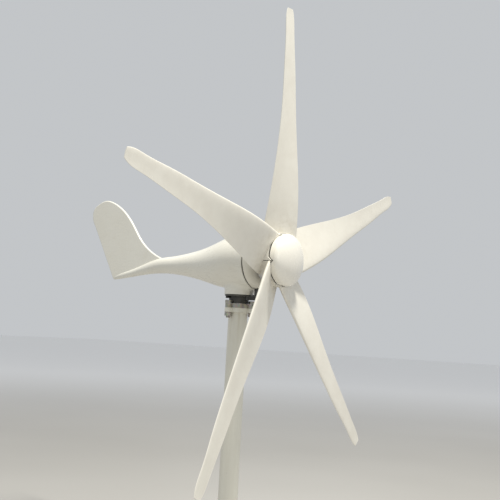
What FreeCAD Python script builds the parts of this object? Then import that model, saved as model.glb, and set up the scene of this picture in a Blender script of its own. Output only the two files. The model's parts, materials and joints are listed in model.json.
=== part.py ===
"""Small horizontal-axis wind turbine on the flanged top section of its mast.

Row frame, millimetres: the origin is the centre of the mast tube's lower end, +Z runs up the
mast, which is also the yaw axis, and +X runs forward along the rotor axis to the spinner's nose.
Three rigid groups: the mast with the yaw spindle, the nacelle that turns on it with the
generator's housing and stator, and the rotor with the shaft, the magnets, the hub and five blades.
"""

import FreeCAD
import Part

import math
import os

Vector = FreeCAD.Vector
ORIGIN = Vector(0, 0, 0)
X_AXIS = Vector(1, 0, 0)
Z_AXIS = Vector(0, 0, 1)

# --- driving dimensions, mm ---------------------------------------------------------------------
AXIS_HEIGHT = 760.0          # rotor axis above the mast tube's lower end
ROTOR_RADIUS = 645.0         # hub centre to blade tip
BLADE_COUNT = 5
FIRST_BLADE_DEG = -4.9       # first blade from straight up, clockwise seen from the front
NECK_RIM = -91.0             # heights below are from the rotor axis, so they are negative

MAST_RADIUS = 25.4           # 2 inch tube
MAST_WALL = 2.5
CABLE_HOLE_RADIUS = 16.0     # through the mast flange
FLANGE_THICKNESS = 11.5
YAW_FLANGE_TOP = -114.5
YAW_FLANGE_BOTTOM = YAW_FLANGE_TOP - FLANGE_THICKNESS
MAST_FLANGE_BOTTOM = YAW_FLANGE_BOTTOM - FLANGE_THICKNESS
FLANGE_DISC_RADIUS = 31.0
YAW_FLANGE_EAR = 8.5
MAST_FLANGE_EAR = 9.3
FLANGE_BOLT_CIRCLE = 36.5    # radius of the circle through the three M10 bolts
FLANGE_BOLT_ANGLES = (19.0, 139.0, 259.0)

SPINDLE_RADIUS = 12.5        # seats of the two yaw bearings, 25 x 47 x 12
SPINDLE_BORE = 8.0
SPINDLE_TOP = -44.0
YAW_BEARING_OUTER = 23.5
YAW_BEARING_WIDTH = 12.0
LOWER_BEARING_BOTTOM = -110.0
UPPER_BEARING_BOTTOM = -84.0
YAW_HOUSING_RADIUS = 26.0
NECK_RADIUS = 39.0
NECK_SCREW_CIRCLE = 31.5
NECK_SCREW_ANGLES = (-126.0, -6.0, 114.0)

NACELLE_RADIUS = 76.0
NACELLE_WALL = 3.5
SHELL_FRONT = 51.2           # x of the shell's front rim
HOUSING_RIM = 55.0           # x where the generator housing's dome starts, past the dark gap
HOUSING_RADIUS = 75.0
SPIGOT_RADIUS = 71.8         # fits inside the shell at its front
SPIGOT_STEP = 42.0           # x behind which the spigot is narrower
SLEEVE_RADIUS = 69.0
STATOR_RADIUS = 60.0
STATOR_BORE = 41.5
STATOR_FRONT = 52.0
STATOR_BACK = 30.0
SLOT_COUNT = 12
PLATE_BACK = 20.0            # rear bearing plate
PLATE_FRONT = 25.0
TIE_BOLT_CIRCLE = 64.5
TIE_BOLT_SEAT = 63.0
TIE_BOLT_ANGLES = (40.0, 160.0, 280.0)
SHELL_SCREW_ANGLES = (60.0, 120.0, 300.0)
SHELL_SCREW_X = 45.5
SHELL_SCREW_SEAT = 74.2
DOME_FACE = 82.0             # flat face round the shaft
DOME_FACE_RADIUS = 32.0
FRONT_BEARING_X = 68.0       # 17 x 40 x 12
FRONT_BEARING_WIDTH = 12.0
REAR_BEARING_X = 22.0        # 15 x 35 x 11
REAR_BEARING_WIDTH = 11.0

MAGNET_COUNT = 10
MAGNET_CORE_RADIUS = 33.5
MAGNET_RADIUS = 40.5

SHAFT_END = 141.0
KEY_BACK = 94.0
KEY_FRONT = 114.0
HUB_BACK = 90.0
HUB_FRONT = 102.5            # blades are clamped between this face and the clamp plate
HUB_RADIUS = 64.0
BOSS_RADIUS = 24.0           # between the blade roots
ROOT_THICKNESS = 16.0
CLAMP_BACK = HUB_FRONT + ROOT_THICKNESS
CLAMP_FRONT = CLAMP_BACK + 4.0
CLAMP_RIM_FRONT = 137.5
CLAMP_RIM_BORE = 60.5
CUFF_RADIUS = 69.5           # the roots close into a drum of this radius behind the spinner
CUFF_BORE = 66.0             # inside the cuff, in front of the clamp plate
CUFF_FRONT = 128.4
CUFF_CLEARANCE = 0.5
CUFF_START_DEG = -19.0       # one root's share of the drum, from the blade's own direction
CUFF_SPAN_DEG = 70.6
SPLIT_DEG = CUFF_START_DEG - (360.0 / BLADE_COUNT - CUFF_SPAN_DEG) / 2   # middle of the gap
HORN_TIP = 139.0             # cuff corners reach forward beside each split, into the spinner
HORN_HALF_WIDTH = 9.5
BLADE_BOLTS = ((36.0, 16.3), (54.5, 2.3), (54.5, 30.3))   # radius and angle in the root, M6

SPINNER_RADIUS = 67.0
SPINNER_WALL = 2.5
SPINNER_BACK = 132.0
SPINNER_SHOULDER = 143.5
SPINNER_NOSE = 171.0
NOTCH_TIP = 142.5            # notches in the skirt round the cuff corners
NOTCH_BACK = 130.0
NOTCH_HALF_WIDTH = 12.0
SNAP_X = 134.6               # back of the snap ridge inside the skirt
SNAP_WIDTH = 1.6
SNAP_RADIUS = 63.4
LUG_FRONT = 62.5             # the yaw housing's front lug, under the generator housing's rim
LUG_BACK = 53.3
LUG_HALF_WIDTH = 9.0
LUG_BOTTOM = -104.0
LUG_SCREW_X = 58.5
LUG_SCREW_SEAT = -98.5
GASKET_RADIUS = 73.0         # seam ring between the shell and the generator housing

# Blade stations: radius, leading and trailing edge offsets, pitch in degrees, rake of mid-chord
# forward of the yaw axis and thickness over chord.
BLADE_STATIONS = (
    (36.0, 54.0, -55.0, 17.0, 116.0, 0.135),
    (75.0, 57.0, -55.0, 15.5, 120.0, 0.130),
    (120.0, 57.0, -53.0, 13.0, 126.0, 0.125),
    (200.0, 54.0, -44.5, 9.5, 133.5, 0.115),
    (300.0, 46.0, -31.5, 6.0, 138.0, 0.110),
    (400.0, 38.0, -23.0, 3.0, 141.5, 0.105),
    (500.0, 30.0, -20.5, 1.5, 145.0, 0.100),
    (590.0, 21.0, -19.0, 1.0, 147.5, 0.100),
    (635.0, 15.5, -16.0, 1.0, 148.5, 0.100),
    (ROTOR_RADIUS, 11.0, -12.0, 1.0, 149.0, 0.105),
)
BLADE_CAMBER = 0.03
TRAILING_EDGE = 1.6          # thickness of the moulded trailing edge
SECTION_POINTS = 12

# Nacelle body stations: x, height of the middle, half height, half width.
NACELLE_STATIONS = (
    (90.0, 0.0, NACELLE_RADIUS, NACELLE_RADIUS),
    (54.0, 0.0, NACELLE_RADIUS, NACELLE_RADIUS),
    (15.0, -1.0, 74.5, 74.0),
    (-25.0, -4.5, 69.0, 68.5),
    (-62.0, -9.5, 60.5, 59.5),
    (-100.0, -11.5, 49.0, 48.0),
    (-155.0, -11.8, 35.5, 34.0),
    (-210.0, -12.0, 26.5, 24.0),
    (-270.0, -13.4, 21.6, 17.0),
    (-330.0, -23.5, 15.5, 12.0),
    (-385.0, -36.0, 10.5, 8.0),
    (-448.0, -49.0, 4.5, 3.6),
)
HOLLOW_STATIONS = 9          # the tail boom is solid behind this many stations
FIN_THICKNESS = 8.0
FIN_EDGE_RADIUS = 3.0
# The fin's curved outline from the boom's top round to the straight rear edge, x and height.
FIN_CURVE = (
    (-250.0, 2.0), (-298.0, 20.0), (-348.0, 58.0), (-388.0, 110.0), (-431.0, 153.0),
    (-468.0, 174.5), (-498.0, 181.5), (-527.0, 172.5), (-548.0, 154.0), (-550.0, 133.0),
    (-538.0, 106.0),
)
FIN_REAR_FOOT = (-451.0, -50.0)
FIN_INNER_FOOT = (-250.0, -16.0)


# --- helpers ------------------------------------------------------------------------------------
def up(height):
    """Row height of a level given from the rotor axis."""
    return AXIS_HEIGHT + height


def bar_x(radius, x0, x1, y=0.0, z=0.0):
    """Round bar along X between x0 and x1, at sideways y and height z from the rotor axis."""
    return Part.makeCylinder(radius, x1 - x0, Vector(x0, y, up(z)), X_AXIS)


def ring_x(outer, inner, x0, x1):
    """Ring about the rotor axis."""
    return bar_x(outer, x0, x1).cut(bar_x(inner, x0 - 1, x1 + 1))


def bar_z(radius, z0, z1, x=0.0, y=0.0):
    """Round bar along Z between two heights given from the rotor axis."""
    return Part.makeCylinder(radius, z1 - z0, Vector(x, y, up(z0)), Z_AXIS)


def ring_z(outer, inner, z0, z1):
    """Ring about the yaw axis."""
    return bar_z(outer, z0, z1).cut(bar_z(inner, z0 - 1, z1 + 1))


def block(x0, x1, half_width, z0, z1, y=0.0):
    """Box symmetric about y, heights from the rotor axis."""
    return Part.makeBox(x1 - x0, 2 * half_width, z1 - z0, Vector(x0, y - half_width, up(z0)))


def hexagon(across_flats, centre, axis, height, turn=0.0, chamfered=True):
    """Hexagonal prism; a bolt head or a nut has its outer corners chamfered at 30 degrees."""
    corner = across_flats / math.sqrt(3)
    points = [Vector(*polar(60.0 * i, corner), 0) for i in range(7)]
    prism = Part.Face(Part.makePolygon(points)).extrude(Vector(0, 0, height))
    if chamfered:
        land = 0.48 * across_flats
        prism = prism.common(Part.makeCone(land + height * math.sqrt(3), land, height))
    prism.rotate(ORIGIN, Z_AXIS, turn)
    prism.Placement = FreeCAD.Placement(
        centre, FreeCAD.Rotation(Z_AXIS, axis)
    ).multiply(prism.Placement)
    return prism


def clock(angle, radius):
    """Y and Z offsets of a point round the rotor axis, clockwise from the top seen from the front."""
    return radius * math.sin(math.radians(angle)), radius * math.cos(math.radians(angle))


def polar(angle, radius):
    """X and Y of a point round the yaw axis."""
    return radius * math.cos(math.radians(angle)), radius * math.sin(math.radians(angle))


def turned(shape, angle):
    """Copy turned clockwise, seen from the front, about the rotor axis."""
    copy = shape.copy()
    copy.rotate(Vector(0, 0, AXIS_HEIGHT), X_AXIS, -angle)
    return copy


def group(solids):
    """Several identical solids in one node."""
    return Part.makeCompound(solids)


def one_solid(shape):
    """The single solid of a boolean's result, with coplanar faces joined."""
    solids = shape.removeSplitter().Solids
    return max(solids, key=lambda s: s.Volume)


# --- mast, fixed --------------------------------------------------------------------------------
def eared_plate(z0, z1, ear_radius, bore):
    """Three-eared flange plate with its bolt holes and its bore."""
    plate = bar_z(FLANGE_DISC_RADIUS, z0, z1)
    holes = [bar_z(bore, z0 - 1, z1 + 1)]
    for angle in FLANGE_BOLT_ANGLES:
        x, y = polar(angle, FLANGE_BOLT_CIRCLE)
        arm = block(0, FLANGE_BOLT_CIRCLE, ear_radius, z0, z1)
        arm.rotate(ORIGIN, Z_AXIS, angle)
        plate = plate.fuse([bar_z(ear_radius, z0, z1, x, y), arm])
        holes.append(bar_z(5.3, z0 - 1, z1 + 1, x, y))
    return one_solid(plate.cut(holes))


def mast_flange():
    """Painted flange welded on top of the tube, open in the middle for the cable."""
    return eared_plate(MAST_FLANGE_BOTTOM, YAW_FLANGE_BOTTOM, MAST_FLANGE_EAR, CABLE_HOLE_RADIUS)


def yaw_flange():
    """Bare flange that holds the spindle."""
    return eared_plate(YAW_FLANGE_BOTTOM, YAW_FLANGE_TOP, YAW_FLANGE_EAR, SPINDLE_RADIUS)


def mast_tube():
    length = up(MAST_FLANGE_BOTTOM)
    bore = Part.makeCylinder(MAST_RADIUS - MAST_WALL, length + 2, Vector(0, 0, -1))
    return Part.makeCylinder(MAST_RADIUS, length).cut(bore)


def yaw_spindle():
    """Hollow spindle pressed into the yaw flange, with a shoulder under the lower bearing."""
    spindle = bar_z(SPINDLE_RADIUS, YAW_FLANGE_BOTTOM, SPINDLE_TOP)
    shoulder = bar_z(15.5, YAW_FLANGE_TOP, LOWER_BEARING_BOTTOM)
    bore = bar_z(SPINDLE_BORE, YAW_FLANGE_BOTTOM - 1, SPINDLE_TOP + 1)
    return one_solid(spindle.fuse(shoulder).cut(bore))


def spindle_nut():
    z0 = UPPER_BEARING_BOTTOM + YAW_BEARING_WIDTH
    nut = ring_z(17.5, SPINDLE_RADIUS, z0, z0 + 7.5)
    for angle in range(0, 360, 90):
        slot = block(15.5, 19, 2.0, z0 - 1, z0 + 9)
        slot.rotate(ORIGIN, Z_AXIS, angle)
        nut = nut.cut(slot)
    return nut


def flange_hardware():
    """M10 bolts from above, washers under heads and nuts, and nuts below with bare thread ends."""
    bolts, washers, nuts = [], [], []
    washer, head, nut_height, thread_end = 1.6, 6.4, 8.4, 5.0
    head_low = YAW_FLANGE_TOP + washer
    nut_low = MAST_FLANGE_BOTTOM - washer - nut_height
    for angle in FLANGE_BOLT_ANGLES:
        x, y = polar(angle, FLANGE_BOLT_CIRCLE)
        shank = bar_z(5.0, nut_low - thread_end, head_low, x, y)
        shank = shank.makeChamfer(0.8, [shank.Edges[2]])
        head_prism = hexagon(16.0, Vector(x, y, up(head_low)), Z_AXIS, head, angle + 12)
        bolts.append(one_solid(head_prism.fuse(shank)))
        for z0 in (YAW_FLANGE_TOP, MAST_FLANGE_BOTTOM - washer):
            hole = bar_z(5.25, z0 - 1, z0 + washer + 1, x, y)
            washers.append(bar_z(9.0, z0, z0 + washer, x, y).cut(hole))
        nut = hexagon(16.0, Vector(x, y, up(nut_low)), Z_AXIS, nut_height, angle + 25)
        nuts.append(nut.cut(bar_z(5.0, nut_low - 1, nut_low + nut_height + 1, x, y)))
    return bolts, washers, nuts


def slip_ring_sleeve():
    """Moulded insulating sleeve with flanges between the three rings."""
    sleeve = ring_z(15.0, SPINDLE_RADIUS, -63.5, -45.0)
    for z0 in (-63.5, -57.2, -51.4, -46.5):
        sleeve = sleeve.fuse(ring_z(17.0, SPINDLE_RADIUS, z0, z0 + 1.5))
    return one_solid(sleeve)


SLIP_RING_HEIGHTS = (-62.0, -55.7, -49.9)
SLIP_RING_WIDTHS = (4.8, 4.3, 3.4)


def slip_rings():
    return [
        ring_z(18.0, 15.0, z0, z0 + width)
        for z0, width in zip(SLIP_RING_HEIGHTS, SLIP_RING_WIDTHS)
    ]


# --- ball bearings ------------------------------------------------------------------------------
def ball_bearing(bore, outer, width, ball_radius, balls):
    """Inner ring, outer ring with shields, and balls about Z, from height 0 to width."""
    pitch = (bore + outer) / 2
    inner_land = pitch - 0.62 * ball_radius
    outer_land = pitch + 0.62 * ball_radius
    groove = Part.makeTorus(pitch, ball_radius + 0.05, Vector(0, 0, width / 2), Z_AXIS)
    inner = Part.makeCylinder(inner_land, width).cut(Part.makeCylinder(bore, width)).cut(groove)
    rim = Part.makeCylinder(outer, width).cut(Part.makeCylinder(outer_land, width)).cut(groove)
    for z0 in (0.3, width - 1.1):
        shield = Part.makeCylinder(outer_land + 0.4, 0.8, Vector(0, 0, z0)).cut(
            Part.makeCylinder(inner_land + 0.25, 0.8, Vector(0, 0, z0))
        )
        rim = rim.fuse(shield)
    spheres = []
    for i in range(balls):
        x, y = polar(360.0 * i / balls, pitch)
        spheres.append(Part.makeSphere(ball_radius, Vector(x, y, width / 2)))
    return inner, one_solid(rim), spheres


def placed(shapes, rotation, base):
    """The shapes moved from the origin to their place."""
    placement = FreeCAD.Placement(base, rotation)
    moved = []
    for shape in shapes:
        copy = shape.copy()
        copy.Placement = placement.multiply(copy.Placement)
        moved.append(copy)
    return moved


def yaw_bearing(bottom):
    inner, rim, balls = ball_bearing(SPINDLE_RADIUS, YAW_BEARING_OUTER, YAW_BEARING_WIDTH, 3.2, 11)
    return placed([inner, rim] + balls, FreeCAD.Rotation(), Vector(0, 0, up(bottom)))


def shaft_bearing(bore, outer, width, ball_radius, balls, x0):
    inner, rim, spheres = ball_bearing(bore, outer, width, ball_radius, balls)
    along_x = FreeCAD.Rotation(Z_AXIS, X_AXIS)
    return placed([inner, rim] + spheres, along_x, Vector(x0, 0, AXIS_HEIGHT))


# --- nacelle, turns about the mast --------------------------------------------------------------
def oval(x, middle, half_height, half_width, shrink=0.0):
    """Closed smooth section of the nacelle at x."""
    points = []
    for i in range(16):
        angle = 2 * math.pi * i / 16
        points.append(Vector(
            x,
            (half_width - shrink) * math.sin(angle),
            up(middle + (half_height - shrink) * math.cos(angle)),
        ))
    curve = Part.BSplineCurve()
    curve.interpolate(points, PeriodicFlag=True)
    return Part.Wire([curve.toShape()])


def nacelle_body():
    return Part.makeLoft([oval(*station) for station in NACELLE_STATIONS], True, False)


def tail_fin():
    """Flat fin with rounded edges, standing on the boom."""
    curve = Part.BSplineCurve()
    curve.interpolate([Vector(x, -FIN_THICKNESS / 2, up(z)) for x, z in FIN_CURVE])
    start, end = curve.value(curve.FirstParameter), curve.value(curve.LastParameter)
    rear = Vector(FIN_REAR_FOOT[0], start.y, up(FIN_REAR_FOOT[1]))
    inner = Vector(FIN_INNER_FOOT[0], start.y, up(FIN_INNER_FOOT[1]))
    outline = Part.Wire([
        curve.toShape(),
        Part.makeLine(end, rear),
        Part.makeLine(rear, inner),
        Part.makeLine(inner, start),
    ])
    fin = Part.Face(outline).extrude(Vector(0, FIN_THICKNESS, 0))
    outer_edges = [
        edge for edge in fin.Edges
        if abs(edge.BoundBox.YLength) < 0.01 and edge.BoundBox.ZMax > up(60)
    ]
    return fin.makeFillet(FIN_EDGE_RADIUS, outer_edges)


def neck_blend(body):
    """Body with its neck joined on by a smooth fillet."""
    joined = body.fuse(bar_z(NECK_RADIUS, NECK_RIM, -30)).removeSplitter()
    seam = [
        edge for edge in joined.Edges
        if edge.BoundBox.ZMin > up(NECK_RIM + 5) and edge.BoundBox.ZMax < up(-20)
        and edge.BoundBox.XLength < 2.2 * NECK_RADIUS and edge.BoundBox.XLength > 5
    ]
    return joined.makeFillet(12.0, seam)


def nacelle_shell():
    """One casting: round body, neck, tapering tail boom and fin, hollow in front."""
    shell = neck_blend(nacelle_body()).fuse(tail_fin())
    sections = [
        oval(*station, shrink=NACELLE_WALL) for station in NACELLE_STATIONS[:HOLLOW_STATIONS]
    ]
    hollow = Part.makeLoft(sections, True, False)
    shell = shell.cut([
        hollow,
        bar_z(NECK_RADIUS - NACELLE_WALL, NECK_RIM + 9, -30),
        bar_z(YAW_HOUSING_RADIUS + 0.3, NECK_RIM - 1, -30),
        block(SHELL_FRONT, 120, 100, -100, 100),
    ])
    for x, y in (polar(angle, NECK_SCREW_CIRCLE) for angle in NECK_SCREW_ANGLES):
        shell = shell.cut(bar_z(3.0, NECK_RIM - 1, NECK_RIM + 7.5, x, y))
    for angle in SHELL_SCREW_ANGLES:
        hole = bar_z(2.7, 60, 90, SHELL_SCREW_X)
        spot_face = bar_z(5.0, SHELL_SCREW_SEAT, 90, SHELL_SCREW_X)
        shell = shell.cut([turned(hole, angle), turned(spot_face, angle)])
    return one_solid(shell)


def shell_screws():
    """Pan-head screws through the shell into the generator housing's spigot."""
    screw = bar_z(2.5, 62.5, SHELL_SCREW_SEAT, SHELL_SCREW_X)
    head = bar_z(4.5, SHELL_SCREW_SEAT, SHELL_SCREW_SEAT + 2.4, SHELL_SCREW_X)
    whole = one_solid(screw.fuse(head.makeFillet(1.2, [head.Edges[0]])))
    return [turned(whole, angle) for angle in SHELL_SCREW_ANGLES]


def domed(shoulder, nose, radius, flat_radius):
    """Solid about the rotor axis with a quarter-ellipse dome from its shoulder to a flat nose."""
    centre = Vector(shoulder, 0, up(flat_radius))
    rim, top = Vector(shoulder, 0, up(radius)), Vector(nose, 0, up(flat_radius))
    depth, drop = nose - shoulder, radius - flat_radius
    if drop > depth:
        arc = Part.ArcOfEllipse(Part.Ellipse(rim, top, centre), 0, math.pi / 2)
    else:
        arc = Part.ArcOfEllipse(Part.Ellipse(top, rim, centre), 0, math.pi / 2)
    ends = [rim, top] if flat_radius == 0 else [rim, top, Vector(nose, 0, AXIS_HEIGHT)]
    corners = ends[1:] + [Vector(shoulder, 0, AXIS_HEIGHT), rim]
    lines = [Part.makeLine(a, b) for a, b in zip(corners, corners[1:])]
    face = Part.Face(Part.Wire([arc.toShape()] + lines))
    return face.revolve(Vector(0, 0, AXIS_HEIGHT), X_AXIS, 360)


def housing_dome(inset=0.0):
    return domed(HOUSING_RIM, DOME_FACE - inset, HOUSING_RADIUS - inset, DOME_FACE_RADIUS)


def generator_housing():
    """Front bell of the generator: dome with the front bearing's seat, and the stator's spigot."""
    dome = housing_dome()
    solid_parts = [bar_x(25.0, 66.0, DOME_FACE), ring_x(80.0, STATOR_RADIUS, HOUSING_RIM, 62.0)]
    for angle in TIE_BOLT_ANGLES:
        y, z = clock(angle, TIE_BOLT_CIRCLE)
        solid_parts.append(bar_x(7.5, HOUSING_RIM, DOME_FACE, y, z))
    bell = dome.cut(housing_dome(4.0)).fuse([part.common(dome) for part in solid_parts])
    bell = bell.fuse([
        ring_x(SPIGOT_RADIUS, STATOR_RADIUS, SPIGOT_STEP, HOUSING_RIM),
        ring_x(SLEEVE_RADIUS, STATOR_RADIUS, PLATE_FRONT, SPIGOT_STEP),
    ])
    bell = bell.cut([
        bar_x(20.0, 60.0, FRONT_BEARING_X + FRONT_BEARING_WIDTH),
        bar_x(12.5, 60.0, DOME_FACE + 1),
    ])
    for angle in TIE_BOLT_ANGLES:
        y, z = clock(angle, TIE_BOLT_CIRCLE)
        bell = bell.cut([bar_x(2.7, 10, 90, y, z), bar_x(4.6, TIE_BOLT_SEAT, 90, y, z)])
    for angle in SHELL_SCREW_ANGLES:
        bell = bell.cut(turned(bar_z(2.5, 62.0, 90, SHELL_SCREW_X), angle))
    return one_solid(bell.cut(bar_z(2.5, -80, -64, LUG_SCREW_X)))


def rear_bearing_plate():
    plate = bar_x(SLEEVE_RADIUS, PLATE_BACK, PLATE_FRONT)
    seat = bar_x(21.5, PLATE_FRONT, REAR_BEARING_X + REAR_BEARING_WIDTH)
    plate = plate.fuse(seat).cut([
        bar_x(17.5, REAR_BEARING_X, 60),
        bar_x(12.0, 10, 60),
    ])
    for angle in TIE_BOLT_ANGLES:
        y, z = clock(angle, TIE_BOLT_CIRCLE)
        plate = plate.cut(bar_x(2.7, 10, 60, y, z))
    for angle in range(30, 390, 60):
        y, z = clock(angle, 44.0)
        plate = plate.cut(bar_x(9.0, 10, 30, y, z))
    return one_solid(plate)


def tie_bolts():
    """Socket-head bolts through the housing's rim to nuts behind the rear plate."""
    bolts, nuts = [], []
    for angle in TIE_BOLT_ANGLES:
        y, z = clock(angle, TIE_BOLT_CIRCLE)
        head = bar_x(4.25, TIE_BOLT_SEAT, TIE_BOLT_SEAT + 5.0, y, z)
        mouth = Vector(TIE_BOLT_SEAT + 2.5, y, up(z))
        socket = hexagon(4.0, mouth, X_AXIS, 5.0, chamfered=False)
        shank = bar_x(2.5, PLATE_BACK - 6.0, TIE_BOLT_SEAT, y, z)
        bolts.append(one_solid(head.fuse(shank).cut(socket)))
        nut = hexagon(8.0, Vector(PLATE_BACK, y, up(z)), X_AXIS * -1, 4.5, angle)
        nuts.append(nut.cut(bar_x(2.5, 0, 30, y, z)))
    return bolts, nuts


def stator_core():
    """Laminated ring with teeth pointing at the magnets."""
    core = ring_x(STATOR_RADIUS, 53.7, STATOR_BACK, STATOR_FRONT)
    for i in range(SLOT_COUNT):
        tooth = block(STATOR_BACK, STATOR_FRONT, 3.2, 44.0, 55.0)
        shoe = block(STATOR_BACK, STATOR_FRONT, 8.0, STATOR_BORE - 0.5, 45.0)
        core = core.fuse(turned(tooth.fuse(shoe), 360.0 * i / SLOT_COUNT))
    return one_solid(core.cut(bar_x(STATOR_BORE, STATOR_BACK - 1, STATOR_FRONT + 1)))


def stator_windings():
    """One coil round each tooth."""
    overhang = 4.5
    coils = []
    for i in range(SLOT_COUNT):
        coil = block(STATOR_BACK - overhang, STATOR_FRONT + overhang, 7.0, 45.5, 52.9)
        coil = coil.makeFillet(3.0, [e for e in coil.Edges if e.BoundBox.ZLength > 7.0])
        coil = coil.cut(block(STATOR_BACK - 0.3, STATOR_FRONT + 0.3, 3.4, 44.0, 55.0))
        coils.append(turned(coil, 360.0 * i / SLOT_COUNT))
    return coils


def yaw_housing():
    """Cast housing of the yaw bearings, its plate under the neck and the arm and lug in front."""
    bottom, top = YAW_FLANGE_TOP + 1.5, UPPER_BEARING_BOTTOM + YAW_BEARING_WIDTH
    plate_top, plate_bottom = NECK_RIM, NECK_RIM - 4.0
    housing = bar_z(YAW_HOUSING_RADIUS, bottom, top)
    plate = bar_z(NECK_RADIUS - 2.0, plate_bottom, plate_top)
    arm = block(20, LUG_FRONT, LUG_HALF_WIDTH, LUG_BOTTOM, plate_top)
    lug = block(LUG_BACK, LUG_FRONT, LUG_HALF_WIDTH, LUG_BOTTOM, -60)
    lug = lug.cut(ring_x(HOUSING_RADIUS, 1, 0, HOUSING_RIM)).cut(housing_dome())
    lug = max(lug.Solids, key=lambda s: -s.CenterOfMass.z)
    housing = housing.fuse([plate, arm, lug]).cut([
        bar_z(YAW_BEARING_OUTER, -120, LOWER_BEARING_BOTTOM + YAW_BEARING_WIDTH),
        bar_z(YAW_BEARING_OUTER, UPPER_BEARING_BOTTOM, -60),
        bar_z(20.0, -120, -60),
        bar_z(2.7, -110, -60, LUG_SCREW_X),
        bar_z(4.6, -110, LUG_SCREW_SEAT, LUG_SCREW_X),
    ])
    for angle in NECK_SCREW_ANGLES:
        x, y = polar(angle, NECK_SCREW_CIRCLE)
        housing = housing.cut([
            bar_z(3.2, plate_bottom - 1, plate_top + 1, x, y),
            bar_z(5.5, LUG_BOTTOM - 1, plate_bottom, x, y),
        ])
    return one_solid(housing)


def lug_screw():
    """Sunk socket-head screw up through the lug into the generator housing's rim."""
    head = bar_z(4.25, LUG_SCREW_SEAT - 5.0, LUG_SCREW_SEAT, LUG_SCREW_X)
    mouth = Vector(LUG_SCREW_X, 0, up(LUG_SCREW_SEAT - 6.0))
    socket = hexagon(4.0, mouth, Z_AXIS, 3.5, chamfered=False)
    shank = bar_z(2.5, LUG_SCREW_SEAT, -66.0, LUG_SCREW_X)
    return one_solid(head.fuse(shank).cut(socket))


def neck_screws():
    screws = []
    for angle in NECK_SCREW_ANGLES:
        x, y = polar(angle, NECK_SCREW_CIRCLE)
        seat = NECK_RIM - 4.0
        head = bar_z(5.0, seat - 6.0, seat, x, y)
        socket = hexagon(5.0, Vector(x, y, up(seat - 7.0)), Z_AXIS, 4.0, chamfered=False)
        shank = bar_z(3.0, seat, NECK_RIM + 7.0, x, y)
        screws.append(one_solid(head.fuse(shank).cut(socket)))
    return screws


def yaw_seal():
    """Rubber lip ring in the housing's foot, just clear of the spindle's shoulder."""
    return ring_z(YAW_BEARING_OUTER, 15.8, YAW_FLANGE_TOP + 1.5, LOWER_BEARING_BOTTOM)


def brush_holder():
    """Moulded block behind the slip rings, on the neck's inner ring."""
    holder = block(-34.0, -26.5, 8.5, NECK_RIM + 9.0, -45.0)
    holder = holder.cut(block(-40.0, -20.0, 5.0, -78.0, -66.0))
    for z0, width in zip(SLIP_RING_HEIGHTS, SLIP_RING_WIDTHS):
        holder = holder.cut(block(-32.0, -20.0, 2.5, z0 + 0.4, z0 + width - 0.4))
    return one_solid(holder)


def brushes():
    """Carbon brushes, a hair off the rings."""
    found = []
    for z0, width in zip(SLIP_RING_HEIGHTS, SLIP_RING_WIDTHS):
        brush = block(-32.0, -17.0, 2.5, z0 + 0.4, z0 + width - 0.4)
        found.append(brush.cut(bar_z(18.08, z0, z0 + width)))
    return found


def shaft_seal():
    return ring_x(12.4, 8.3, DOME_FACE - 1.9, DOME_FACE + 0.6)


def housing_gasket():
    """Black rubber ring in the seam between the shell and the generator housing."""
    return ring_x(GASKET_RADIUS, SPIGOT_RADIUS, SHELL_FRONT, HOUSING_RIM)


# --- rotor, turns about the shaft ---------------------------------------------------------------
def main_shaft():
    """Stepped shaft: rear seat, body with the magnets, front seat, hub seat with its keyway."""
    steps = (
        (7.5, REAR_BEARING_X - 1.0, REAR_BEARING_X + REAR_BEARING_WIDTH),
        (11.0, REAR_BEARING_X + REAR_BEARING_WIDTH, FRONT_BEARING_X),
        (8.5, FRONT_BEARING_X, FRONT_BEARING_X + FRONT_BEARING_WIDTH),
        (8.0, FRONT_BEARING_X + FRONT_BEARING_WIDTH, SHAFT_END),
    )
    bars = [bar_x(*step) for step in steps]
    shaft = bars[0].fuse(bars[1:])
    return one_solid(shaft.cut(block(KEY_BACK, KEY_FRONT, 2.5, 5.0, 12.0)))


def magnet_core():
    """Steel core that carries the magnets, bored out to save weight."""
    core = ring_x(MAGNET_CORE_RADIUS, 11.0, STATOR_BACK + 4, STATOR_FRONT)
    for i in range(MAGNET_COUNT // 2):
        y, z = clock(720.0 * i / MAGNET_COUNT, 22.0)
        core = core.cut(bar_x(5.5, 20, 60, y, z))
    return core


def magnets():
    """Arc magnets round the core with gaps between them."""
    share = 0.86
    found = []
    for i in range(MAGNET_COUNT):
        arc = 360.0 / MAGNET_COUNT * share
        span = STATOR_FRONT - STATOR_BACK - 4
        base = Vector(STATOR_BACK + 4, 0, AXIS_HEIGHT)
        outer = Part.makeCylinder(MAGNET_RADIUS, span, base, X_AXIS, arc)
        inner = Part.makeCylinder(MAGNET_CORE_RADIUS, span, base, X_AXIS, arc)
        found.append(turned(outer.cut(inner), 360.0 * i / MAGNET_COUNT))
    return found


def blade_angles():
    return [FIRST_BLADE_DEG + 360.0 * i / BLADE_COUNT for i in range(BLADE_COUNT)]


def bolt_holes(radius, x0, x1):
    """Through holes for every blade bolt."""
    holes = []
    for angle in blade_angles():
        for reach, offset in BLADE_BOLTS:
            y, z = clock(angle + offset, reach)
            holes.append(bar_x(radius, x0, x1, y, z))
    return holes


def hub_disc():
    """Machined hub: disc behind the blade roots with a boss between them."""
    disc = bar_x(HUB_RADIUS, HUB_BACK, HUB_FRONT)
    boss = bar_x(BOSS_RADIUS, HUB_FRONT, CLAMP_BACK)
    collar = bar_x(18.0, 84.0, HUB_BACK)
    keyway = block(80.0, KEY_FRONT, 2.5, 5.0, 10.3)
    hub = disc.fuse([boss, collar]).cut([bar_x(8.0, 80, 130), keyway])
    return one_solid(hub.cut(bolt_holes(3.2, 80, HUB_FRONT + 1)))


def hub_key():
    return block(KEY_BACK, KEY_FRONT, 2.5, 5.0, 10.3)


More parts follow.
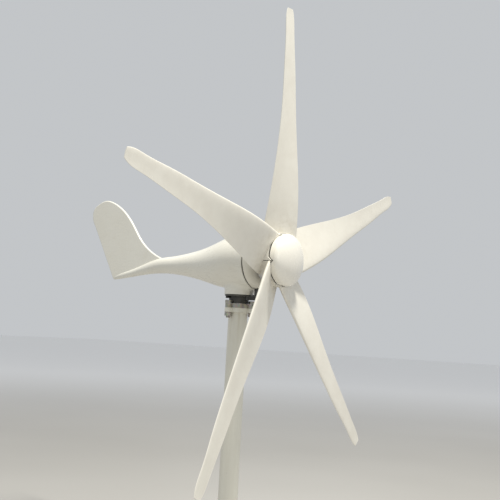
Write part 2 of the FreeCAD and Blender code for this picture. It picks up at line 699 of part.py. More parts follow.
def clamp_plate():
    """Front plate over the blade roots, with a rim that carries the spinner."""
    outer = SPINNER_RADIUS - SPINNER_WALL
    plate = bar_x(outer, CLAMP_BACK, CLAMP_FRONT)
    plate = plate.fuse(ring_x(outer, CLAMP_RIM_BORE, CLAMP_BACK, CLAMP_RIM_FRONT))
    groove = ring_x(70.0, SNAP_RADIUS, SNAP_X, SNAP_X + SNAP_WIDTH)
    plate = plate.cut([groove, bar_x(10.0, 100, 150)] + bolt_holes(3.2, 100, 150))
    return one_solid(plate)


def blade_section(radius, leading, trailing, pitch, rake, thickness):
    """Aerofoil wire at one station of the blade that points straight up."""
    sine, cosine = math.sin(math.radians(pitch)), math.cos(math.radians(pitch))
    chord = (leading - trailing) / cosine
    nose = Vector(rake + chord / 2 * sine, leading, up(radius))
    along = Vector(-sine, -cosine, 0)
    across = Vector(cosine, -sine, 0)

    def point(share, side):
        half = 5 * thickness * chord * (
            0.2969 * math.sqrt(share) - 0.1260 * share - 0.3516 * share ** 2
            + 0.2843 * share ** 3 - 0.1036 * share ** 4
        ) + TRAILING_EDGE / 2 * share
        camber = -4 * BLADE_CAMBER * chord * share * (1 - share)
        return nose + along * (share * chord) + across * (camber + side * half)

    shares = [0.5 * (1 - math.cos(math.pi * i / SECTION_POINTS)) for i in range(SECTION_POINTS + 1)]
    front, back = Part.BSplineCurve(), Part.BSplineCurve()
    front.interpolate([point(share, 1) for share in reversed(shares)])
    back.interpolate([point(share, -1) for share in shares])
    edge = Part.makeLine(point(1.0, -1), point(1.0, 1))
    return Part.Wire([front.toShape(), back.toShape(), edge])


def rib_section(radius, half_width, x0, x1, turn=0.0):
    """Rectangular section of the rib behind the aerofoil's inner end."""
    middle = Vector((x0 + x1) / 2, 0, up(radius))
    corners = []
    for dx, dy in ((x0, -1), (x1, -1), (x1, 1), (x0, 1)):
        corners.append(Vector(dx, dy * half_width, up(radius)))
    wire = Part.makePolygon(corners + corners[:1])
    wire.rotate(middle, Z_AXIS, turn)
    return wire


def sector(radius, x0, x1):
    """One root's share of a bar about the rotor axis, for the blade that points straight up."""
    wedge = Part.makeCylinder(radius, x1 - x0, Vector(x0, 0, AXIS_HEIGHT), X_AXIS, CUFF_SPAN_DEG)
    return turned(wedge, CUFF_START_DEG + CUFF_SPAN_DEG)


def split_wedges(tip, base, half_width):
    """Two triangular prisms pointing forward, over the splits on both sides of a root."""
    inner, depth = 50.0, 35.0
    outline = ((tip, 0), (base, half_width), (base, -half_width), (tip, 0))
    wire = Part.makePolygon([Vector(x, y, up(inner)) for x, y in outline])
    prism = Part.Face(wire).extrude(Vector(0, 0, depth))
    return [turned(prism, SPLIT_DEG), turned(prism, SPLIT_DEG + 360.0 / BLADE_COUNT)]


def root_cuff():
    """Clamped sector of the root with the cuff wall in front of it and its two pointed corners."""
    wedges = split_wedges(HORN_TIP, CUFF_FRONT - 0.1, HORN_HALF_WIDTH)
    front = sector(CUFF_RADIUS, CLAMP_BACK, HORN_TIP).cut(bar_x(CUFF_BORE, 100, 150))
    collar = front.common(bar_x(80.0, CLAMP_BACK, CUFF_FRONT))
    horns = [front.common(wedge) for wedge in wedges]
    return sector(CUFF_RADIUS, HUB_FRONT, CLAMP_BACK).fuse([collar] + horns)


def blade():
    """Moulded blade pointing straight up: root, aerofoil and the rib behind it."""
    aerofoil = Part.makeLoft([blade_section(*station) for station in BLADE_STATIONS], True, False)
    room = sector(CUFF_RADIUS + CUFF_CLEARANCE, 90, 150)
    step = 360.0 / BLADE_COUNT
    aerofoil = aerofoil.cut([
        bar_x(SPINNER_RADIUS + 1.0, 50, 200),
        turned(room, step),
        turned(room, -step),
    ])
    rib = Part.makeLoft([
        rib_section(60.0, 18.0, HUB_FRONT + 0.5, HUB_FRONT + 10.0),
        rib_section(70.0, 18.0, HUB_FRONT + 0.5, HUB_FRONT + 10.0),
        rib_section(130.0, 9.0, 118.0, 124.0, -13.0),
    ], True, True)
    rib = rib.cut([turned(room, step), turned(room, -step)])
    holes = [bar_x(BOSS_RADIUS, 50, 200)]
    for reach, offset in BLADE_BOLTS:
        y, z = clock(offset, reach)
        holes.append(bar_x(3.2, 50, 200, y, z))
    return one_solid(aerofoil.fuse([rib, root_cuff()]).cut(holes))


def blade_hardware():
    """M6 bolts with heads on the clamp plate, and lock nuts behind the hub disc."""
    bolts, nuts = [], []
    for angle in blade_angles():
        for reach, offset in BLADE_BOLTS:
            y, z = clock(angle + offset, reach)
            head = hexagon(10.0, Vector(CLAMP_FRONT, y, up(z)), X_AXIS, 4.0, 7 * offset)
            shank = bar_x(3.0, HUB_BACK - 7.0, CLAMP_FRONT, y, z)
            bolts.append(one_solid(head.fuse(shank)))
            nut = hexagon(10.0, Vector(HUB_BACK, y, up(z)), X_AXIS * -1, 6.0, 11 * offset)
            nuts.append(nut.cut(bar_x(3.0, 50, 120, y, z)))
    return bolts, nuts


def hub_washer():
    return ring_x(15.0, 8.2, CLAMP_FRONT, CLAMP_FRONT + 2.5)


def hub_nut():
    x0 = CLAMP_FRONT + 2.5
    nut = hexagon(24.0, Vector(x0, 0, AXIS_HEIGHT), X_AXIS, 10.0)
    return nut.cut(bar_x(8.0, x0 - 1, x0 + 12))


def spinner():
    """Domed nose cap, its skirt notched over the splits and snapped over the clamp plate's rim."""
    radius, shoulder = SPINNER_RADIUS, SPINNER_SHOULDER
    inner = radius - SPINNER_WALL
    outside = domed(shoulder, SPINNER_NOSE, radius, 0).fuse(bar_x(radius, SPINNER_BACK, shoulder))
    inside = domed(shoulder, SPINNER_NOSE - SPINNER_WALL, inner, 0)
    inside = inside.fuse(bar_x(inner, SPINNER_BACK - 1, shoulder))
    ridge = ring_x(inner + 0.5, SNAP_RADIUS, SNAP_X, SNAP_X + SNAP_WIDTH)
    notch = split_wedges(NOTCH_TIP, NOTCH_BACK, NOTCH_HALF_WIDTH)[0]
    notches = [turned(notch, angle) for angle in blade_angles()]
    return one_solid(outside.cut(inside).fuse(ridge).cut(notches))


# --- every node ---------------------------------------------------------------------------------
def nodes():
    """Name and shape of every node, in the order mast, nacelle, rotor."""
    bolts, washers, nuts = flange_hardware()
    lower, upper = yaw_bearing(LOWER_BEARING_BOTTOM), yaw_bearing(UPPER_BEARING_BOTTOM)
    front = shaft_bearing(8.5, 20.0, FRONT_BEARING_WIDTH, 3.4, 8, FRONT_BEARING_X)
    rear = shaft_bearing(7.5, 17.5, REAR_BEARING_WIDTH, 3.0, 8, REAR_BEARING_X)
    long_bolts, long_nuts = tie_bolts()
    root_bolts, root_nuts = blade_hardware()
    found = {
        "mast_tube": mast_tube(),
        "mast_flange": mast_flange(),
        "yaw_flange": yaw_flange(),
        "flange_bolts": group(bolts),
        "flange_washers": group(washers),
        "flange_nuts": group(nuts),
        "yaw_spindle": yaw_spindle(),
        "spindle_nut": spindle_nut(),
        "slip_ring_sleeve": slip_ring_sleeve(),
        "slip_rings": group(slip_rings()),
        "yaw_lower_inner_race": lower[0],
        "yaw_upper_inner_race": upper[0],
        "nacelle_shell": nacelle_shell(),
        "shell_screws": group(shell_screws()),
        "generator_housing": generator_housing(),
        "rear_bearing_plate": rear_bearing_plate(),
        "tie_bolts": group(long_bolts),
        "tie_bolt_nuts": group(long_nuts),
        "stator_core": stator_core(),
        "stator_windings": group(stator_windings()),
        "yaw_housing": yaw_housing(),
        "neck_screws": group(neck_screws()),
        "lug_screw": lug_screw(),
        "yaw_seal": yaw_seal(),
        "yaw_lower_outer_race": lower[1],
        "yaw_lower_balls": group(lower[2:]),
        "yaw_upper_outer_race": upper[1],
        "yaw_upper_balls": group(upper[2:]),
        "brush_holder": brush_holder(),
        "brushes": group(brushes()),
        "front_bearing_outer_race": front[1],
        "front_bearing_balls": group(front[2:]),
        "rear_bearing_outer_race": rear[1],
        "rear_bearing_balls": group(rear[2:]),
        "shaft_seal": shaft_seal(),
        "housing_gasket": housing_gasket(),
        "main_shaft": main_shaft(),
        "front_bearing_inner_race": front[0],
        "rear_bearing_inner_race": rear[0],
        "magnet_core": magnet_core(),
        "magnets": group(magnets()),
        "hub_disc": hub_disc(),
        "hub_key": hub_key(),
        "clamp_plate": clamp_plate(),
        "blade_bolts": group(root_bolts),
        "blade_nuts": group(root_nuts),
        "hub_washer": hub_washer(),
        "hub_nut": hub_nut(),
        "spinner": spinner(),
    }
    upright = blade()
    for number, angle in enumerate(blade_angles(), 1):
        found[f"blade_{number}"] = turned(upright, angle)
    return found


def main():
    os.makedirs("parts", exist_ok=True)
    for name, shape in nodes().items():
        if not shape.isValid() or not shape.Solids:
            print("not a valid solid:", name)
        shape.exportStep(f"parts/{name}.step")


main()
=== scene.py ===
"""Looks of the small wind turbine: materials, detailed pieces, light and camera round its frame."""

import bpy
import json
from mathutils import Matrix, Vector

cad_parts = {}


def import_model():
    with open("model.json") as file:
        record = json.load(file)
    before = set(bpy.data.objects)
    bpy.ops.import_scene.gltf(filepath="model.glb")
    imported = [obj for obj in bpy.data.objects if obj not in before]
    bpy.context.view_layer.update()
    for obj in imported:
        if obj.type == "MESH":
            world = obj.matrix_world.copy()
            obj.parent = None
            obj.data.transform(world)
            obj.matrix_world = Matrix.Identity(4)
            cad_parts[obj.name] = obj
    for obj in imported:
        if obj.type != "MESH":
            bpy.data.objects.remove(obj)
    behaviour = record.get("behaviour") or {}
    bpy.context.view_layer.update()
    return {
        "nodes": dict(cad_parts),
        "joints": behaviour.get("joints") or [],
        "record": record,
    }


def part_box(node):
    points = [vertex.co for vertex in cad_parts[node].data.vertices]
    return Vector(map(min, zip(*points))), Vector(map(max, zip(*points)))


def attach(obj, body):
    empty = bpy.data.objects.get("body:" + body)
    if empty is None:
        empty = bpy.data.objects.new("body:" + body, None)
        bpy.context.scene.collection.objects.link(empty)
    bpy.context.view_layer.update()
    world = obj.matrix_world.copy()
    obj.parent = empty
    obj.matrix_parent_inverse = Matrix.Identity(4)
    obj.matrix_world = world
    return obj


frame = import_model()

import json
import math

import bmesh
import bpy
from mathutils import Matrix, Vector

NODES = frame["nodes"]
HUB_HEIGHT = next(joint for joint in frame["joints"] if joint["name"] == "yaw")["pos_m"][2]
AXIS_POINT = Vector((0.0, 0.0, HUB_HEIGHT))
FLANGE_BOLT_ANGLES = (19.0, 139.0, 259.0)
FLANGE_BOLT_CIRCLE = 0.0365  # radius of the circle through the three bolts
BOLT_RADIUS = 0.005          # M10
BOLT_PITCH = 0.0015


# --- material building --------------------------------------------------------------------------
class Tree:
    """A material's node tree, with short calls for the nodes used here."""

    def __init__(self, name):
        self.material = bpy.data.materials.new(name)
        self.material.use_nodes = True
        self.nodes = self.material.node_tree.nodes
        self.links = self.material.node_tree.links
        self.nodes.clear()
        self.shader = self.nodes.new("ShaderNodeBsdfPrincipled")
        output = self.nodes.new("ShaderNodeOutputMaterial")
        self.links.new(self.shader.outputs[0], output.inputs[0])
        self.place = self.nodes.new("ShaderNodeTexCoord").outputs["Object"]

    def put(self, socket, value):
        if isinstance(value, bpy.types.NodeSocket):
            self.links.new(value, socket)
        else:
            socket.default_value = value

    def put_colour(self, socket, colour):
        """A linked colour, or three numbers with full alpha."""
        linked = isinstance(colour, bpy.types.NodeSocket)
        self.put(socket, colour if linked else (*colour, 1.0))

    def stretched(self, scale):
        """Object coordinates scaled per axis, for streaks and brushed marks."""
        node = self.nodes.new("ShaderNodeMapping")
        self.put(node.inputs["Vector"], self.place)
        node.inputs["Scale"].default_value = scale
        return node.outputs[0]

    def noise(self, scale, detail=3.0, roughness=0.55, vector=None):
        node = self.nodes.new("ShaderNodeTexNoise")
        self.put(node.inputs["Vector"], vector or self.place)
        node.inputs["Scale"].default_value = scale
        node.inputs["Detail"].default_value = detail
        node.inputs["Roughness"].default_value = roughness
        return node.outputs["Fac"]

    def voronoi(self, scale, output="Distance"):
        node = self.nodes.new("ShaderNodeTexVoronoi")
        self.put(node.inputs["Vector"], self.place)
        node.inputs["Scale"].default_value = scale
        return node.outputs[output]

    def ramp(self, value, low, high, to_low=0.0, to_high=1.0):
        """Smooth step from to_low at low to to_high at high."""
        node = self.nodes.new("ShaderNodeMapRange")
        node.interpolation_type = "SMOOTHSTEP"
        self.put(node.inputs["Value"], value)
        for name, number in zip(("From Min", "From Max", "To Min", "To Max"),
                                (low, high, to_low, to_high)):
            self.put(node.inputs[name], number)
        return node.outputs[0]

    def math(self, operation, a, b=0.0):
        node = self.nodes.new("ShaderNodeMath")
        node.operation = operation
        self.put(node.inputs[0], a)
        self.put(node.inputs[1], b)
        return node.outputs[0]

    def mix(self, amount, a, b):
        node = self.nodes.new("ShaderNodeMix")
        node.data_type = "RGBA"
        self.put(node.inputs["Factor"], amount)
        for name, colour in (("A", a), ("B", b)):
            socket = next(s for s in node.inputs if s.name == name and s.type == "RGBA")
            self.put_colour(socket, colour)
        return next(s for s in node.outputs if s.type == "RGBA")

    def axis_value(self, axis):
        node = self.nodes.new("ShaderNodeSeparateXYZ")
        self.put(node.inputs[0], self.place)
        return node.outputs[axis]

    def rotor_radius(self):
        """Distance from the rotor axis."""
        node = self.nodes.new("ShaderNodeVectorMath")
        node.operation = "MULTIPLY_ADD"
        self.put(node.inputs[0], self.place)
        node.inputs[1].default_value = (0.0, 1.0, 1.0)
        node.inputs[2].default_value = (0.0, 0.0, -HUB_HEIGHT)
        length = self.nodes.new("ShaderNodeVectorMath")
        length.operation = "LENGTH"
        self.put(length.inputs[0], node.outputs[0])
        return length.outputs["Value"]

    def edge_wear(self, radius):
        """1 on sharp edges and 0 on flat areas, from the difference a bevel makes to the normal."""
        bevel = self.nodes.new("ShaderNodeBevel")
        bevel.samples = 4
        bevel.inputs["Radius"].default_value = radius
        geometry = self.nodes.new("ShaderNodeNewGeometry")
        dot = self.nodes.new("ShaderNodeVectorMath")
        dot.operation = "DOT_PRODUCT"
        self.put(dot.inputs[0], bevel.outputs[0])
        self.put(dot.inputs[1], geometry.outputs["Normal"])
        return self.ramp(dot.outputs["Value"], 0.995, 0.90)

    def finish(self, colour, roughness, metallic=0.0, bump=None, strength=0.1, distance=0.0005,
               coat=0.0, specular=0.5, rounded=0.0):
        """Sets the shader's sockets; rounded is the radius of the softened corners in the shading."""
        self.put_colour(self.shader.inputs["Base Color"], colour)
        self.put(self.shader.inputs["Roughness"], roughness)
        self.shader.inputs["Metallic"].default_value = metallic
        self.shader.inputs["Coat Weight"].default_value = coat
        self.shader.inputs["Coat Roughness"].default_value = 0.12
        self.shader.inputs["Specular IOR Level"].default_value = specular
        if bump is not None:
            node = self.nodes.new("ShaderNodeBump")
            node.inputs["Strength"].default_value = strength
            node.inputs["Distance"].default_value = distance
            self.put(node.inputs["Height"], bump)
            if rounded:
                corner = self.nodes.new("ShaderNodeBevel")
                corner.samples = 4
                corner.inputs["Radius"].default_value = rounded
                self.put(node.inputs["Normal"], corner.outputs[0])
            self.put(self.shader.inputs["Normal"], node.outputs[0])
        return self.material


def moulded(name, colour, shade, dust, roughness, coat):
    """Off-white moulded plastic: faint mottling, settled dust, fine scuffs and orange peel."""
    tree = Tree(name)
    broad = tree.ramp(tree.noise(7.0, 4.0), 0.32, 0.70)
    base = tree.mix(broad, colour, shade)
    grime = tree.ramp(tree.noise(34.0, 6.0, 0.65), 0.52, 0.82, 0.0, 0.28)
    base = tree.mix(grime, base, dust)
    speck = tree.math("MULTIPLY", tree.ramp(tree.voronoi(330.0), 0.085, 0.03), 0.35)
    base = tree.mix(speck, base, [c * 0.45 for c in dust])
    wear = tree.math("MULTIPLY", tree.edge_wear(0.0012), 0.35)
    base = tree.mix(wear, base, [c * 1.06 for c in colour])
    scuffs = tree.noise(90.0, 5.0, 0.7, tree.stretched((0.25, 1.0, 1.0)))
    rough = tree.ramp(scuffs, 0.35, 0.72, roughness - 0.06, roughness + 0.14)
    peel = tree.math("ADD", tree.noise(520.0, 2.0), tree.math("MULTIPLY", scuffs, 0.6))
    return tree.finish(base, rough, bump=peel, strength=0.10, distance=0.0003, coat=coat,
                       rounded=0.0004)


def blade_plastic():
    """Satin nylon: long flow marks from root to tip, darker brown blotches towards the hub, fine
    pitting.
    """
    tree = Tree("blade_plastic")
    reach = tree.rotor_radius()
    flow = tree.noise(26.0, 4.0, 0.6)
    base = tree.mix(tree.ramp(flow, 0.3, 0.72), (0.80, 0.775, 0.70), (0.765, 0.735, 0.66))
    near_hub = tree.ramp(reach, 0.17, 0.075, 0.0, 0.38)
    blotch = tree.ramp(tree.noise(55.0, 6.0, 0.7), 0.40, 0.75)
    base = tree.mix(tree.math("MULTIPLY", near_hub, blotch), base, (0.52, 0.47, 0.37))
    pits = tree.ramp(tree.voronoi(260.0), 0.10, 0.03, 0.0, 0.4)
    outboard = tree.ramp(reach, 0.30, 0.62, 0.1, 1.0)
    base = tree.mix(tree.math("MULTIPLY", pits, outboard), base, (0.45, 0.41, 0.34))
    wear = tree.math("MULTIPLY", tree.edge_wear(0.0015), 0.55)
    base = tree.mix(wear, base, (0.93, 0.90, 0.82))
    rough = tree.ramp(tree.noise(120.0, 5.0, 0.7), 0.3, 0.7, 0.34, 0.56)
    grain = tree.math("ADD", tree.noise(650.0, 3.0), tree.math("MULTIPLY", flow, 0.5))
    return tree.finish(base, rough, bump=grain, strength=0.14, distance=0.0003, coat=0.12)


def mast_paint():
    """Paint on the tube: orange peel, faint rain streaks, a stain under the flange, a few chips."""
    tree = Tree("mast_paint")
    streaks = tree.noise(60.0, 5.0, 0.65, tree.stretched((1.0, 1.0, 0.06)))
    base = tree.mix(tree.ramp(streaks, 0.35, 0.72), (0.75, 0.735, 0.65), (0.71, 0.69, 0.60))
    near_flange = tree.ramp(tree.axis_value("Z"), HUB_HEIGHT - 0.22, HUB_HEIGHT - 0.137)
    stain = tree.math("MULTIPLY", near_flange, tree.ramp(streaks, 0.52, 0.76, 0.0, 0.45))
    base = tree.mix(stain, base, (0.46, 0.36, 0.23))
    chips = tree.ramp(tree.voronoi(95.0), 0.060, 0.035)
    sparse = tree.ramp(tree.noise(11.0, 2.0), 0.56, 0.62)
    chips = tree.math("MULTIPLY", chips, sparse)
    base = tree.mix(chips, base, (0.30, 0.27, 0.23))
    wear = tree.math("MULTIPLY", tree.edge_wear(0.0015), 0.6)
    base = tree.mix(wear, base, (0.45, 0.41, 0.34))
    peel = tree.math("SUBTRACT", tree.noise(480.0, 2.0), chips)
    rough = tree.ramp(streaks, 0.3, 0.7, 0.30, 0.50)
    return tree.finish(base, rough, bump=peel, strength=0.22, distance=0.0004, coat=0.15,
                       rounded=0.0008)


def dark_casting():
    """Dark coated casting: sand-cast grain, lighter worn edges and uneven patches in the coating."""
    tree = Tree("dark_casting")
    grain = tree.noise(320.0, 4.0, 0.7)
    patches = tree.ramp(tree.noise(40.0, 5.0), 0.35, 0.7)
    base = tree.mix(patches, (0.038, 0.038, 0.035), (0.080, 0.077, 0.066))
    base = tree.mix(tree.edge_wear(0.0014), base, (0.21, 0.205, 0.185))
    rough = tree.ramp(tree.noise(150.0, 4.0), 0.3, 0.7, 0.38, 0.62)
    return tree.finish(base, rough, bump=grain, strength=0.35, distance=0.0004, rounded=0.0008)


def zinc_steel():
    """Zinc plate gone dull: small spangles, pale bloom and patches of brown rust."""
    tree = Tree("zinc_steel")
    spangle = tree.voronoi(210.0, output="Color")
    shade = tree.mix(0.10, (0.37, 0.35, 0.31), spangle)
    bloom = tree.ramp(tree.noise(120.0, 6.0, 0.7), 0.45, 0.72)
    base = tree.mix(tree.math("MULTIPLY", bloom, 0.4), shade, (0.50, 0.47, 0.41))
    rust = tree.ramp(tree.noise(75.0, 5.0, 0.7), 0.56, 0.74, 0.0, 0.8)
    base = tree.mix(rust, base, (0.22, 0.115, 0.05))
    base = tree.mix(tree.edge_wear(0.0008), base, (0.72, 0.70, 0.65))
    rough = tree.ramp(bloom, 0.0, 1.0, 0.30, 0.60)
    return tree.finish(base, rough, metallic=0.85, bump=bloom, strength=0.18, distance=0.0002,
                       rounded=0.0005)


def turned_steel(name, bright, dull, roughness, stretch):
    """Bare metal with fine tool marks, drawn out along the axes where stretch is small."""
    tree = Tree(name)
    marks = tree.noise(900.0, 3.0, 0.6, tree.stretched(stretch))
    patches = tree.ramp(tree.noise(45.0, 5.0), 0.35, 0.7)
    base = tree.mix(patches, bright, dull)
    wear = tree.math("MULTIPLY", tree.edge_wear(0.0006), 0.6)
    base = tree.mix(wear, base, [c * 1.25 for c in bright])
    rough = tree.ramp(marks, 0.3, 0.7, roughness - 0.06, roughness + 0.12)
    return tree.finish(base, rough, metallic=1.0, bump=marks, strength=0.15, distance=0.0001)


def black_oxide():
    """Black screws with an oily sheen and brighter worn corners."""
    tree = Tree("black_steel")
    patches = tree.noise(140.0, 5.0)
    base = tree.mix(tree.ramp(patches, 0.35, 0.7), (0.016, 0.016, 0.018), (0.045, 0.040, 0.034))
    base = tree.mix(tree.edge_wear(0.0006), base, (0.20, 0.19, 0.18))
    rough = tree.ramp(patches, 0.3, 0.7, 0.28, 0.50)
    return tree.finish(base, rough, metallic=0.6, bump=patches, strength=0.15, distance=0.0001,
                       rounded=0.0004)


def dark_soft(name, colour, dusty, roughness, grain_scale):
    """Rubber, black plastic or carbon: matt, finely grained and dusty."""
    tree = Tree(name)
    dust = tree.ramp(tree.noise(60.0, 6.0, 0.7), 0.45, 0.75, 0.0, 0.7)
    base = tree.mix(dust, colour, dusty)
    grain = tree.noise(grain_scale, 3.0)
    rough = tree.ramp(grain, 0.3, 0.7, roughness - 0.08, roughness + 0.10)
    return tree.finish(base, rough, bump=grain, strength=0.25, distance=0.0002, specular=0.4)


def striped_metal(name, light, dark, period, axis, roughness):
    """Stacked sheets or wound wire: fine regular lines across one axis."""
    tree = Tree(name)
    phase = tree.math("MULTIPLY", tree.axis_value(axis), 2.0 * math.pi / period)
    wave = tree.math("SINE", phase)
    lines = tree.ramp(wave, -0.6, 0.8)
    wander = tree.ramp(tree.noise(70.0, 4.0), 0.3, 0.7, 0.0, 0.4)
    base = tree.mix(lines, dark, light)
    base = tree.mix(wander, base, [c * 0.7 for c in light])
    rough = tree.ramp(wave, -1.0, 1.0, roughness + 0.12, roughness)
    return tree.finish(base, rough, metallic=0.9, bump=wave, strength=0.4, distance=0.0002)


def paint_nodes():
    """One material per slot of the record, put on every node that names the slot."""
    chosen = {
        "blade_plastic": blade_plastic(),
        "shell_plastic": moulded(
            "shell_plastic", (0.80, 0.785, 0.71), (0.775, 0.755, 0.675), (0.62, 0.57, 0.46),
            0.30, 0.35),
        "spinner_plastic": moulded(
            "spinner_plastic", (0.88, 0.855, 0.78), (0.86, 0.83, 0.75), (0.74, 0.69, 0.58), 0.22, 0.5),
        "housing_paint": moulded(
            "housing_paint", (0.79, 0.765, 0.68), (0.755, 0.73, 0.645), (0.60, 0.55, 0.45), 0.34, 0.3),
        "mast_paint": mast_paint(),
        "dark_casting": dark_casting(),
        "black_steel": black_oxide(),
        "zinc_steel": zinc_steel(),
    }
    # Bare metals: bright and dull colour, roughness, stretch of the tool marks.
    bare = {
        "cast_hub": ((0.60, 0.60, 0.60), (0.45, 0.45, 0.44), 0.40, (1.0, 0.05, 0.05)),
        "bearing_steel": ((0.74, 0.74, 0.75), (0.66, 0.66, 0.67), 0.16, (0.1, 1.0, 1.0)),
        "shaft_steel": ((0.55, 0.55, 0.55), (0.42, 0.42, 0.41), 0.28, (1.0, 0.05, 0.05)),
        "magnet_nickel": ((0.70, 0.68, 0.64), (0.60, 0.58, 0.54), 0.20, (1.0, 1.0, 1.0)),
        "ring_brass": ((0.72, 0.52, 0.22), (0.58, 0.40, 0.16), 0.24, (0.05, 0.05, 1.0)),
    }
    # Soft parts: colour, dusty colour, roughness, scale of the grain.
    soft = {
        "seal_rubber": ((0.012, 0.012, 0.012), (0.05, 0.045, 0.04), 0.62, 420.0),
        "black_plastic": ((0.02, 0.02, 0.022), (0.06, 0.055, 0.05), 0.48, 300.0),
        "carbon": ((0.03, 0.03, 0.03), (0.08, 0.08, 0.08), 0.70, 800.0),
    }
    # Stacked or wound parts: light and dark colour, spacing of the lines, axis, roughness.
    striped = {
        "laminations": ((0.34, 0.34, 0.36), (0.10, 0.10, 0.11), 0.001, "X", 0.42),
        "copper_wire": ((0.66, 0.28, 0.12), (0.22, 0.07, 0.03), 0.0012, "X", 0.30),
    }
    for build, table in ((turned_steel, bare), (dark_soft, soft), (striped_metal, striped)):
        for name, values in table.items():
            chosen[name] = build(name, *values)
    for entry in frame["record"]["subparts"]:
        node = NODES[entry["node"]]
        node.data.materials.clear()
        node.data.materials.append(chosen[entry["material_slot"]])
    return chosen


looks = paint_nodes()


# --- detailed pieces ----------------------------------------------------------------------------
def mesh_piece(name, rings, material, body, smooth=True):
    """Tube-like surface through rings of points, open at its first and last ring."""
    shape = bmesh.new()
    rows = [[shape.verts.new(point) for point in ring] for ring in rings]
    for row, following in zip(rows, rows[1:]):
        for k in range(len(row)):
            after = (k + 1) % len(row)
            shape.faces.new((row[k], row[after], following[after], following[k]))
    bmesh.ops.recalc_face_normals(shape, faces=shape.faces)
    data = bpy.data.meshes.new(name)
    shape.to_mesh(data)
    shape.free()
    for face in data.polygons:
        face.use_smooth = smooth
    piece = bpy.data.objects.new(name, data)
    bpy.context.scene.collection.objects.link(piece)
    data.materials.append(material)
    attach(piece, body)
    return piece


def weld_bead(height, radius, bead, ripples):
    """Fillet weld round the mast under its flange, in ripples; its two end rings coincide."""
    steps, section = 4 * ripples, 10
    rings = []
    for i in range(steps + 1):
        around = 2.0 * math.pi * (i % steps) / steps
        phase = (i % 4) / 4.0
        ripple = 0.14 * math.cos(2.0 * math.pi * phase)
        swell = bead * (0.86 + ripple + 0.06 * math.sin(5.0 * around))
        ring = []
        for k in range(section):
            turn = 2.0 * math.pi * k / section
            out = radius + swell * math.cos(turn)
            rise = swell * math.sin(turn)
            ring.append((out * math.cos(around), out * math.sin(around), height + rise))
        rings.append(ring)
    return mesh_piece("weld_bead", rings, looks["mast_paint"], "mast")


def bolt_thread(name, x, y, low, high):
    """Rolled thread on a bolt's bare end: a helical ridge that runs out, its ends in the shank."""
    per_turn, depth = 28, 0.00036
    sunk, foot, flat = -0.0004, 0.34, 0.07  # root inside the shank; half widths over the pitch
    steps = int(per_turn * (high - low) / BOLT_PITCH)
    rings = []
    for i in range(steps + 1):
        around = 2.0 * math.pi * i / per_turn
        height = low + (high - low) * i / steps
        crest = depth * min(1.0, 5.0 * i / steps, 5.0 * (steps - i) / steps)
        ring = []
        for out, rise in ((sunk, foot), (crest, flat), (crest, -flat), (sunk, -foot)):
            reach = BOLT_RADIUS + out
            ring.append((
                x + reach * math.cos(around),
                y + reach * math.sin(around),
                height + rise * BOLT_PITCH,
            ))
        rings.append(ring)
    return mesh_piece(name, rings, looks["zinc_steel"], "mast", smooth=False)


def mast_details():
    """Weld bead under the flange and the threads between the nuts and the bolts' chamfered ends."""
    chamfer, nut_gap, bead_gap = 0.0012, 0.0001, 0.0002
    bolt_low, nut_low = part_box("flange_bolts")[0].z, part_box("flange_nuts")[0].z
    flange_low, tube_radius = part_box("mast_flange")[0].z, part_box("mast_tube")[1].x
    weld_bead(flange_low, tube_radius + bead_gap, 0.0019, 44)
    for number, angle in enumerate(FLANGE_BOLT_ANGLES, 1):
        x = FLANGE_BOLT_CIRCLE * math.cos(math.radians(angle))
        y = FLANGE_BOLT_CIRCLE * math.sin(math.radians(angle))
        bolt_thread(f"bolt_thread_{number}", x, y, bolt_low + chamfer, nut_low - nut_gap)


mast_details()


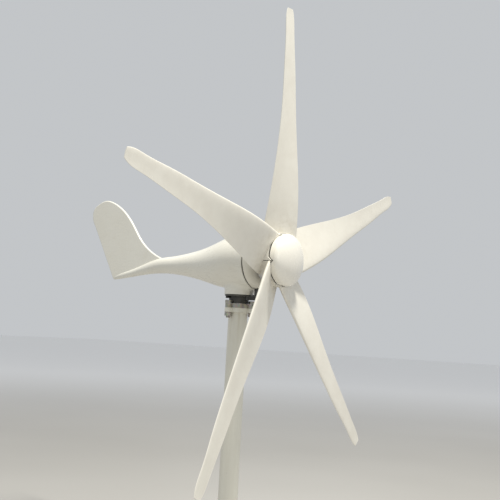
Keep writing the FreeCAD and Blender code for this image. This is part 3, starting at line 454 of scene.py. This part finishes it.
# --- stage, light and camera --------------------------------------------------------------------
def floor():
    """Pale matt floor that lightens away from the object, so that it meets the backdrop softly."""
    bpy.ops.mesh.primitive_plane_add(size=60.0, location=(0.0, 0.0, -0.0005))
    plane = bpy.context.object
    plane.name = "floor"
    tree = Tree("floor_paint")
    length = tree.nodes.new("ShaderNodeVectorMath")
    length.operation = "LENGTH"
    tree.put(length.inputs[0], tree.place)
    far = tree.ramp(length.outputs["Value"], 1.5, 9.0)
    near = tree.mix(tree.ramp(tree.noise(0.6, 2.0), 0.3, 0.7), (0.45, 0.44, 0.42), (0.42, 0.41, 0.39))
    base = tree.mix(far, near, (0.94, 0.935, 0.93))
    plane.data.materials.append(tree.finish(base, 0.95, specular=0.05))


def world(colour, strength):
    scene_world = bpy.data.worlds.new("studio")
    bpy.context.scene.world = scene_world
    scene_world.use_nodes = True
    background = scene_world.node_tree.nodes["Background"]
    background.inputs["Color"].default_value = (*colour, 1.0)
    background.inputs["Strength"].default_value = strength


def area_light(name, offset, size, power, colour):
    """Square light at an offset from the hub, aimed at the hub."""
    data = bpy.data.lights.new(name, "AREA")
    data.shape = "SQUARE"
    data.size = size
    data.energy = power
    data.color = colour
    lamp = bpy.data.objects.new(name, data)
    lamp.location = AXIS_POINT + offset
    lamp.rotation_euler = (-offset).to_track_quat("-Z", "Y").to_euler()
    bpy.context.scene.collection.objects.link(lamp)


def camera():
    """Camera in front of the rotor's right side, a little below the hub and slightly rolled."""
    azimuth, elevation, roll = math.radians(34.2), math.radians(-5.85), math.radians(3.13)
    distance, lens, sensor = 2.2267, 60.75, 36.0
    aim = AXIS_POINT + Vector((0.0199, 0.0099, 0.0289))
    back = Vector((
        math.sin(azimuth) * math.cos(elevation),
        -math.cos(azimuth) * math.cos(elevation),
        math.sin(elevation),
    ))
    level = Vector((math.cos(azimuth), math.sin(azimuth), 0.0))
    turn = Matrix.Rotation(roll, 3, back)
    right = turn @ level
    up = back.cross(right)
    data = bpy.data.cameras.new("camera")
    data.lens = lens
    data.sensor_width = sensor
    rig = bpy.data.objects.new("camera", data)
    rotation = Matrix((right, up, back)).transposed().to_4x4()
    rig.matrix_world = Matrix.Translation(aim + back * distance) @ rotation
    bpy.context.scene.collection.objects.link(rig)
    bpy.context.scene.camera = rig


floor()
world((0.94, 0.97, 1.0), 0.58)
area_light("key", Vector((0.95, -0.35, 3.55)), 0.55, 200.0, (1.0, 0.965, 0.88))
area_light("front", Vector((3.2, -2.0, 0.6)), 1.6, 9.0, (1.0, 0.98, 0.93))
bpy.context.scene.view_settings.view_transform = "Standard"
camera()
